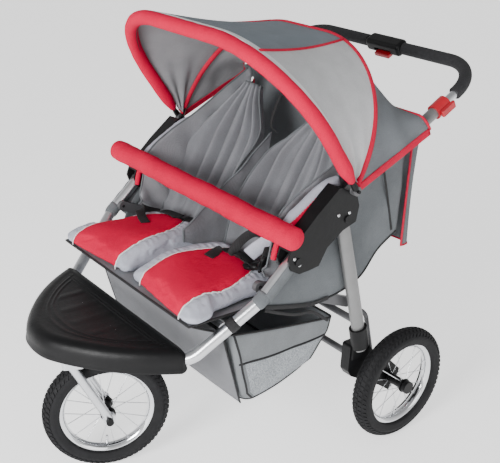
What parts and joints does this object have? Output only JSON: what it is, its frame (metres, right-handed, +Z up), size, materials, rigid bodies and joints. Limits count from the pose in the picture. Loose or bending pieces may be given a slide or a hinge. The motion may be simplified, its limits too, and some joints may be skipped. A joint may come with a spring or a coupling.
{
  "type": "jogging stroller",
  "caption": "Side-by-side double jogging stroller with three spoked wheels, folding tube frame, padded seats, canopy and basket.",
  "frame": {"origin": "on the ground at the middle of the overall box", "axes": "+Z up, +Y towards the handle, -Y forward towards the front wheel, X across the two seats"},
  "size_m": [0.772, 1.0806, 1.0716],
  "materials": {
    "basket_fabric": "plain weave polyester",
    "black_plastic": "moulded, fine grain",
    "chrome": "polished chrome plate",
    "dark_tube": "satin dark grey powder coat",
    "foam": "closed cell grip foam",
    "grey_fabric": "plain weave polyester",
    "grey_tube": "satin grey powder coat",
    "light_fabric": "plain weave polyester",
    "pad_fabric": "padded brushed polyester",
    "red_fabric": "padded plain weave polyester",
    "red_plastic": "moulded, satin",
    "silver_tube": "satin clear anodised tube",
    "steel": "zinc plated",
    "tyre_rubber": "moulded tread"
  },
  "bodies": {
    "front_frame": {"front_tube_left": "silver_tube", "front_tube_right": "silver_tube", "front_crossbar": "silver_tube", "tube_collars": "black_plastic", "link_pins": "steel", "footrest_cover": "black_plastic", "caster_head": "silver_tube", "seat_deck": "grey_fabric", "seat_cushion_left": "pad_fabric", "seat_cushion_right": "pad_fabric", "seat_side_panels": "grey_fabric", "harness_buckles": "black_plastic", "basket": "basket_fabric"},
    "swivel_lock": {"swivel_lock_pin": "black_plastic"},
    "fork": {"front_fork": "silver_tube", "front_axle": "steel", "front_axle_caps": "black_plastic"},
    "front_wheel": {"front_tyre": "tyre_rubber", "front_rim": "chrome", "front_spokes": "chrome", "front_hub": "black_plastic"},
    "handle_frame": {"side_bracket_left": "black_plastic", "side_bracket_right": "black_plastic", "handle_tube_left": "grey_tube", "handle_tube_right": "grey_tube", "frame_pivot_pins": "steel", "height_clamps": "black_plastic", "side_gussets": "grey_fabric", "rear_flap": "grey_fabric", "canopy_rear_cover": "light_fabric"},
    "lever_left": {"height_lever_left": "red_plastic"},
    "lever_right": {"height_lever_right": "red_plastic"},
    "handle": {"handlebar": "silver_tube", "foam_grips": "foam", "handle_housing": "black_plastic"},
    "trigger": {"fold_trigger": "red_plastic"},
    "canopy_front": {"canopy_front_bow": "dark_tube", "canopy_bow_padding": "red_fabric"},
    "canopy_mid": {"canopy_mid_bow": "dark_tube", "canopy_front_cover": "light_fabric"},
    "bumper": {"bumper_bar": "red_fabric"},
    "rear_legs": {"rear_leg_left": "grey_tube", "rear_leg_right": "grey_tube", "axle_housing_left": "black_plastic", "axle_housing_right": "black_plastic", "rear_axle": "steel", "rear_crossbars": "dark_tube"},
    "brake": {"brake_bar": "dark_tube"},
    "side_links": {"side_link_left": "dark_tube", "side_link_right": "dark_tube"},
    "rear_wheel_left": {"rear_left_tyre": "tyre_rubber", "rear_left_rim": "chrome", "rear_left_spokes": "chrome", "rear_left_hub": "black_plastic"},
    "rear_wheel_right": {"rear_right_tyre": "tyre_rubber", "rear_right_rim": "chrome", "rear_right_spokes": "chrome", "rear_right_hub": "black_plastic"},
    "seat_back_left": {"seat_back_left": "grey_fabric"},
    "seat_back_right": {"seat_back_right": "grey_fabric"}
  },
  "joints": [
    {"name": "frame_fold", "type": "hinge", "parent": "front_frame", "child": "handle_frame", "pos_m": [0, -0.0623, 0.591], "axis": [1, 0, 0], "range_deg": [-79, 0], "deforming": ["side_gussets", "rear_flap", "basket", "seat_side_panels"]},
    {"name": "rear_leg_fold", "type": "hinge", "parent": "handle_frame", "child": "rear_legs", "pos_m": [0, 0.0797, 0.664], "axis": [1, 0, 0], "range_deg": [0, 36.2]},
    {"name": "side_link_fold", "type": "hinge", "parent": "front_frame", "child": "side_links", "pos_m": [0, -0.1323, 0.53], "axis": [1, 0, 0], "range_deg": [-57.3, 0]},
    {"name": "caster_swivel", "type": "hinge", "parent": "front_frame", "child": "fork", "pos_m": [0, -0.4453, 0.33], "axis": [0, 0, 1], "continuous": true},
    {"name": "front_wheel_spin", "type": "hinge", "parent": "fork", "child": "front_wheel", "pos_m": [0.02997, -0.37113, 0.155], "axis": [0.9272, -0.3746, 0], "continuous": true},
    {"name": "rear_wheel_left_spin", "type": "hinge", "parent": "rear_legs", "child": "rear_wheel_left", "pos_m": [0.346, 0.3197, 0.155], "axis": [1, 0, 0], "continuous": true},
    {"name": "rear_wheel_right_spin", "type": "hinge", "parent": "rear_legs", "child": "rear_wheel_right", "pos_m": [-0.346, 0.3197, 0.155], "axis": [1, 0, 0], "continuous": true},
    {"name": "canopy_fold", "type": "hinge", "parent": "handle_frame", "child": "canopy_mid", "pos_m": [0, 0.0877, 0.733], "axis": [1, 0, 0], "range_deg": [-33, 0], "deforming": ["canopy_rear_cover", "canopy_front_cover"]},
    {"name": "canopy_bow_fold", "type": "hinge", "parent": "canopy_mid", "child": "canopy_front", "pos_m": [0, 0.0877, 0.733], "axis": [1, 0, 0], "range_deg": [-27.5, 0]},
    {"name": "recline_left", "type": "hinge", "parent": "front_frame", "child": "seat_back_left", "pos_m": [0.15, -0.0223, 0.492], "axis": [1, 0, 0], "range_deg": [-25, 0]},
    {"name": "recline_right", "type": "hinge", "parent": "front_frame", "child": "seat_back_right", "pos_m": [-0.15, -0.0223, 0.492], "axis": [1, 0, 0], "range_deg": [-25, 0]},
    {"name": "handle_height", "type": "slide", "parent": "handle_frame", "child": "handle", "axis": [0, 0.866, 0.5], "range_m": [-0.03, 0.05]},
    {"name": "trigger_squeeze", "type": "slide", "parent": "handle", "child": "trigger", "axis": [0, -0.5, 0.866], "range_m": [0, 0.006], "stiffness_N_per_m": 400},
    {"name": "height_lever_left_open", "type": "hinge", "parent": "handle_frame", "child": "lever_left", "pos_m": [0.344, 0.3634, 0.87425], "axis": [0, -0.5, 0.866], "range_deg": [-60, 0]},
    {"name": "height_lever_right_open", "type": "hinge", "parent": "handle_frame", "child": "lever_right", "pos_m": [-0.344, 0.3634, 0.87425], "axis": [0, -0.5, 0.866], "range_deg": [0, 60]},
    {"name": "bumper_pull", "type": "slide", "parent": "handle_frame", "child": "bumper", "axis": [0, -0.6909, 0.7229], "range_m": [0, 0.08]},
    {"name": "brake_press", "type": "hinge", "parent": "rear_legs", "child": "brake", "pos_m": [0, 0.2977, 0.19], "axis": [1, 0, 0], "range_deg": [-25, 0]},
    {"name": "swivel_lock_slide", "type": "slide", "parent": "front_frame", "child": "swivel_lock", "axis": [0, 0, 1], "range_m": [-0.006, 0]}
  ],
  "couplings": [
    {"joint": "rear_leg_fold", "follows": "frame_fold", "ratio": -0.452},
    {"joint": "side_link_fold", "follows": "frame_fold", "ratio": 0.719},
    {"joint": "canopy_bow_fold", "follows": "canopy_fold", "ratio": 0.82}
  ]
}
